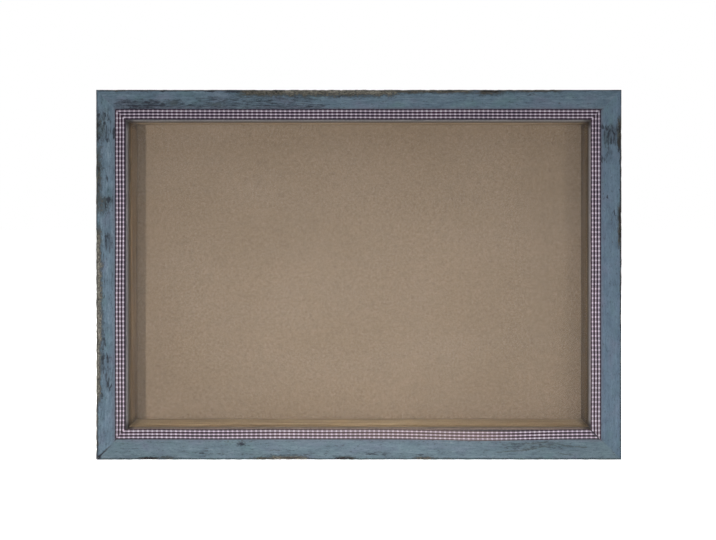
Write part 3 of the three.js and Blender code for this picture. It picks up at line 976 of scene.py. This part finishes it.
def layRibbon():
    columns = []
    for run, start, end in ribbonRuns:
        span = runLength(start, end)
        steps = round(span / ribbon["columnSpacing"])
        lastStep = steps + 1 if run == "right" else steps
        columns.extend((run, start, end, step / steps, span) for step in range(lastStep))
    deselectAll()
    bpy.ops.mesh.primitive_grid_add(x_subdivisions=len(columns) - 1, y_subdivisions=ribbon["rows"], size=2)
    strip = bpy.context.object
    strip.name = "gingham_ribbon_cloth"
    columnOf, inwardOf = [], []
    for vertex in strip.data.vertices:
        column = round((vertex.co.x + 1) / 2 * (len(columns) - 1))
        across = (vertex.co.y + 1) / 2 * ribbon["width"]
        run, start, end, t, span = columns[column]
        place = ribbonPoint(run, start, end, t, across)
        place.y = frontFace - ribbon["proud"] - ribbonLift(run, t, span, across)
        vertex.co = place
        columnOf.append(column)
        inwardOf.append(ribbon["width"] - across)
    weaveMap(strip.data, columns, columnOf, inwardOf)
    return strip


def weaveMap(mesh, columns, columnOf, inwardOf):
    # metres along each run from its first corner, and in from the ribbon's outer edge
    layer = mesh.uv_layers[0]
    layer.name = "weave"
    for face in mesh.polygons:
        start, end = columns[min(columnOf[vertex] for vertex in face.vertices)][1:3]
        origin = ribbonCorner(start, ribbon["width"])
        direction = (ribbonCorner(end, ribbon["width"]) - origin).normalized()
        for index in face.loop_indices:
            vertex = mesh.loops[index].vertex_index
            along = (mesh.vertices[vertex].co - origin).dot(direction)
            layer.data[index].uv = (along, inwardOf[vertex])


def makeRibbon():
    strip = layRibbon()
    editAll(strip, bpy.ops.mesh.normals_make_consistent, inside=False)
    if strip.data.polygons[0].normal.y > 0:
        editAll(strip, bpy.ops.mesh.flip_normals)
    applyModifier(strip, "SOLIDIFY", thickness=ribbon["thickness"], offset=-1)
    smoothByAngle(strip, ribbon["smoothDegrees"])
    settle(strip, "frame", "ribbon", "gingham_ribbon")
    setMaterials(strip, ginghamMaterial())


def stripes(tree, value, period, place):
    turn = times(tree, maths(tree, "SUBTRACT", value, place), 2 * math.pi / period)
    return remap(tree, maths(tree, "COSINE", turn), 0.2, 0.6)


def threads(tree, value):
    return maths(tree, "SINE", times(tree, value, math.pi / ribbon["thread"]))


def ribbonDirt(tree, spot):
    # dustier lower down, and faded along the bottom run
    dust = remap(tree, spot["Z"], 0.25, 0.05, 0, 0.05)
    faded = times(tree, remap(tree, spot["X"], -0.2, 0.1, 0.02, 0.32),
                  remap(tree, spot["X"], 0.12, 0.18, 1, 0.1, smooth=True))
    faded = times(tree, faded, remap(tree, spot["Z"], 0.038, 0.034))
    return strongest(tree, dust, faded)


def ginghamMaterial():
    material, tree = newMaterial("plumGingham")
    coords = uvCoords(tree, "weave")
    weave = axesOf(tree, coords)
    spot = axesOf(tree, objectCoords(tree))
    wobble = noiseAt(tree, coords, (420, 420, 1), 2)
    shift = times(tree, maths(tree, "SUBTRACT", wobble, 0.5), 0.0005)
    # white on white is palest; a white thread along the ribbon tells more than one across it
    warp = stripes(tree, maths(tree, "ADD", weave["Y"], shift), ribbon["checkAcross"], ribbon["width"] / 2)
    weft = stripes(tree, maths(tree, "ADD", weave["X"], shift), ribbon["checkAlong"], 0.0)
    light = weighted(tree, (warp, 0.45), (weft, 0.09), (times(tree, warp, weft), 0.46))
    over = times(tree, threads(tree, weave["X"]), threads(tree, weave["Y"]))
    light = maths(tree, "MULTIPLY", light, remap(tree, over, -1, 1, 0.84, 1.1), clamp=True)
    light = times(tree, light, remap(tree, spot["Z"], 0.26, 0.35, 1, 0.84))  # painted shade, darker towards the top
    fade = remap(tree, noiseAt(tree, coords, (26, 60, 1), 3), 0.35, 0.65)
    dark = mixColours(tree, fade, colour(22, 11, 29), colour(42, 15, 37))
    pale = mixColours(tree, fade, colour(216, 201, 217), colour(229, 220, 232))
    tint = mixColours(tree, light, dark, pale)
    return finished(material, {
        "Base Color": stain(tree, tint, ribbonDirt(tree, spot), (140, 120, 107)),
        "Roughness": remap(tree, over, -1, 1, 0.78, 0.92),
        "Normal": bumpFrom(tree, maths(tree, "ABSOLUTE", over), 0.35, 0.00015),
    })


makeRibbon()
print("ribbon laid")


# Glass, spacers and board inside the rebate

inner = {
    "sheetBevel": 0.0004,  # of the glass and the board
    "spacerBevel": 0.0005,
    # dark grain, light grain and pores
    # each wall's wood is lighter or darker partly as painted light and shade for how it faces the lamps
    "spacerWoods": {
        "top": ("topSpacerWood", (142, 121, 96), (178, 154, 125), (102, 85, 65)),
        "bottom": ("honeySpacerWood", (162, 138, 104), (194, 170, 134), (122, 100, 72)),
        "left": ("paleSpacerWood", (125, 104, 80), (161, 137, 107), (87, 70, 53)),
        "right": ("brownSpacerWood", (90, 74, 57), (119, 100, 78), (62, 48, 37)),
    },
}


def glassMaterial():
    material, tree = newMaterial("windowGlass")
    smear = objectNoise(tree, (7, 7, 22), 5, 0.6)
    wiped = objectNoise(tree, (40, 40, 260), 3, 0.6, (2, 0, 1))
    veil = weighted(tree, (smear, 0.7), (wiped, 0.3))
    return finished(material, {
        "Base Color": mixColours(tree, veil, (0.72, 0.76, 0.76, 1), (0.84, 0.87, 0.87, 1)),
        "Roughness": remap(tree, veil, 0.35, 0.65, 0.02, 0.16),
        "Alpha": remap(tree, veil, 0.44, 0.62, 0.017, 0.024),
        "IOR": 1.5,
    })


def boardMaterial():
    material, tree = newMaterial("brownFibreboard")
    fibres = objectNoise(tree, (420, 420, 420), 4, 0.7)
    flecks = objectNoise(tree, (300, 300, 360), 3, 0.65, (4, 1, 2))
    cloud = objectNoise(tree, (9, 9, 12), 3, 0.5)
    dust = objectNoise(tree, (1500, 1500, 1500), 2, 0.6, (1, 5, 3))
    tint = mixColours(tree, remap(tree, cloud, 0.35, 0.65), colour(131, 113, 92), colour(136, 118, 98))
    tint = stain(tree, tint, remap(tree, fibres, 0.5, 0.66, 0, 0.5), (103, 85, 68))
    tint = stain(tree, tint, remap(tree, fibres, 0.46, 0.34, 0, 0.4), (160, 142, 124))
    tint = stain(tree, tint, remap(tree, dust, 0.5, 0.7, 0, 0.35), (96, 80, 64))
    tint = stain(tree, tint, remap(tree, dust, 0.46, 0.3, 0, 0.3), (168, 150, 130))
    tint = stain(tree, tint, remap(tree, flecks, 0.63, 0.71, 0, 0.5), (84, 68, 54))
    return finished(material, {
        "Base Color": tint,
        "Roughness": remap(tree, fibres, 0.3, 0.7, 0.7, 0.86),
        "Normal": bumpFrom(tree, fibres, 0.25, 0.0003),
        "Specular IOR Level": 0.3,
    })


def mapStrip(piece, longAxis):
    mesh = piece.data
    layer = mesh.uv_layers.new(name="grain")
    for loop in mesh.loops:
        point = mesh.vertices[loop.vertex_index].co
        layer.data[loop.index].uv = (point[longAxis], point[2 - longAxis] - point.y)


def makeInside():
    dressNode("glass_pane", "_clear", inner["sheetBevel"], "glass", glassMaterial())
    dressNode("backing_board", "_fibre", inner["sheetBevel"], "fibreboard", boardMaterial())
    for place, wood in inner["spacerWoods"].items():
        finish = woodMaterial(*wood)
        strip = dressNode("spacer_" + place, "_strip", inner["spacerBevel"], "spacer_wood", finish)
        mapStrip(strip, 0 if place in ("top", "bottom") else 2)


makeInside()
print("glass, spacers and board in")


# Metal fittings on the back: name's ending, softened edge and slot, by the start of a node's name

fittings = {
    "turn_button_": ("_plate", 0.0003, "brass"),
    "button_screw_": ("_pan", 0.00012, "brass"),
    "hanger_screw_": ("_pan", 0.00012, "zinc_steel"),
    "hanger_strap_": ("_folded", 0.00025, "zinc_steel"),
}
rings = {"ending": "_wire", "levels": 2, "smoothDegrees": 60}


def metalMaterial(name, base, tarnish, roughLow, roughHigh):
    material, tree = newMaterial(name)
    cloud = objectNoise(tree, (260, 260, 260), 5, 0.6)
    brushed = objectNoise(tree, (1800, 400, 1800), 3, 0.6)
    uneven = maths(tree, "ADD", cloud, brushed)
    return finished(material, {
        "Base Color": mixColours(tree, remap(tree, cloud, 0.46, 0.72), colour(*base), colour(*tarnish)),
        "Metallic": 1,
        "Roughness": remap(tree, uneven, 0.7, 1.3, roughLow, roughHigh),
        "Normal": bumpFrom(tree, brushed, 0.12, 0.0001),
    })


def makeRing(node, metal):
    ring = mergedCopy(node, node + rings["ending"])
    editAll(ring, bpy.ops.mesh.tris_convert_to_quads)
    applyModifier(ring, "SUBSURF", levels=rings["levels"], render_levels=rings["levels"])
    smoothByAngle(ring, rings["smoothDegrees"])
    settle(ring, node.removeprefix("hanger_"), "zinc_steel", node)
    setMaterials(ring, metal)


def makeFittings():
    metals = {
        "brass": metalMaterial("dullBrass", (190, 156, 92), (128, 98, 52), 0.26, 0.48),
        "zinc_steel": metalMaterial("brightZinc", (190, 192, 190), (132, 136, 136), 0.25, 0.45),
    }
    for node in sorted(nodes):
        if node.startswith("v_nail_"):
            setMaterials(nodes[node], metals["zinc_steel"])
        if node.startswith("hanger_ring_"):
            makeRing(node, metals["zinc_steel"])
        for start, (ending, bevel, slot) in fittings.items():
            if node.startswith(start):
                body = node.removeprefix("turn_") if node.startswith("turn_") else "frame"
                dressNode(node, ending, bevel, slot, metals[slot], body)


makeFittings()
print("fittings on")


# Pale floor and soft light. In front: a key low on the left, a weaker one on the right, a low strip, two
# fills far off and a hood above. A soft light hangs over the frame, and three light its back.

studio = {
    "floorSize": 12,
    "sky": 0.03,
    "skyShine": 0.7,  # what polished things reflect
    # where a lamp stands, what it faces, its size, its power, and for the hood its spread in degrees
    "lamps": {
        "keyLight": ((-0.72, -1.58, 0.05), (0, 0, 0.17), (0.09, 0.09), 11.4),
        "rightLight": ((0.84, -1.1, 0.14), (0, 0, 0.17), (0.05, 0.05), 2.2),
        "lowLight": ((0, -0.4, 0.02), (0, 0, 0.06), (0.44, 0.06), 0.5),
        "fillLeft": ((-0.22, -2.2, 0.06), (-0.1, 0, 0.12), (0.2, 0.1), 4.3),
        "fillRight": ((0.22, -2.2, 0.06), (0.1, 0, 0.12), (0.2, 0.1), 4.3),
        "hoodLight": ((0, -0.55, 0.75), (0, 0, -0.1), (0.5, 0.1), 0.35, 45),
        "topLight": ((0, -0.75, 1.05), (0, 0, 0.2), (0.44, 0.7), 0.3),
        "backLight": ((0.3, 1.0, 1.2), (0, 0, 0.2), (0.9, 0.7), 20),
        "leftBack": ((-0.9, 0.8, 0.5), (-0.26, 0, 0.2), (0.5, 0.5), 7),
        "rightBack": ((0.9, 0.8, 0.5), (0.26, 0, 0.2), (0.5, 0.5), 7),
    },
}


def floorMaterial():
    material, tree = newMaterial("paleFloor")
    soft = remap(tree, objectNoise(tree, (2, 2, 2), 2), 0.3, 0.7)
    rays = addNode(tree, "LightPath")
    return finished(material, {
        "Base Color": mixColours(tree, soft, (0.86, 0.86, 0.86, 1), (0.9, 0.9, 0.9, 1)),
        "Roughness": 0.9,
        "Specular IOR Level": 0,
        "Emission Color": (1, 1, 1, 1),
        "Emission Strength": rays.outputs["Is Camera Ray"],
    })


def addLamp(name, place, aim, size, power, spread=180):
    bpy.ops.object.light_add(type="AREA", location=place)
    lamp = bpy.context.object
    lamp.name = name
    lamp.data.shape = "RECTANGLE"
    lamp.data.size, lamp.data.size_y = size
    lamp.data.energy = power
    lamp.data.spread = math.radians(spread)
    lamp.rotation_euler = (Vector(aim) - Vector(place)).to_track_quat("-Z", "Y").to_euler()
    lamp.visible_camera = False
    lamp.visible_glossy = place[1] > 0  # keeps the front lamps out of the glass


def layFloor():
    deselectAll()
    bpy.ops.mesh.primitive_plane_add(size=studio["floorSize"], location=(0, 0, 0))
    floor = bpy.context.object
    floor.name = "studioFloor"
    floor.visible_glossy = False
    setMaterials(floor, floorMaterial())


def hangSky():
    world = bpy.data.worlds.new("paleSky")
    bpy.context.scene.world = world
    world.use_nodes = True
    tree = world.node_tree
    tree.nodes.clear()
    rays = addNode(tree, "LightPath")
    shine = remap(tree, rays.outputs["Is Glossy Ray"], 0, 1, studio["sky"], studio["skyShine"])
    strength = strongest(tree, shine, rays.outputs["Is Camera Ray"])
    sky = addNode(tree, "Background", {"Color": (1, 1, 1, 1), "Strength": strength})
    addNode(tree, "OutputWorld", {"Surface": sky.outputs["Background"]})


layFloor()
for name, lamp in studio["lamps"].items():
    addLamp(name, *lamp)
hangSky()
bpy.context.scene.view_settings.view_transform = "Standard"
bpy.context.scene.view_settings.look = "None"
print("studio lit")

deselectAll()
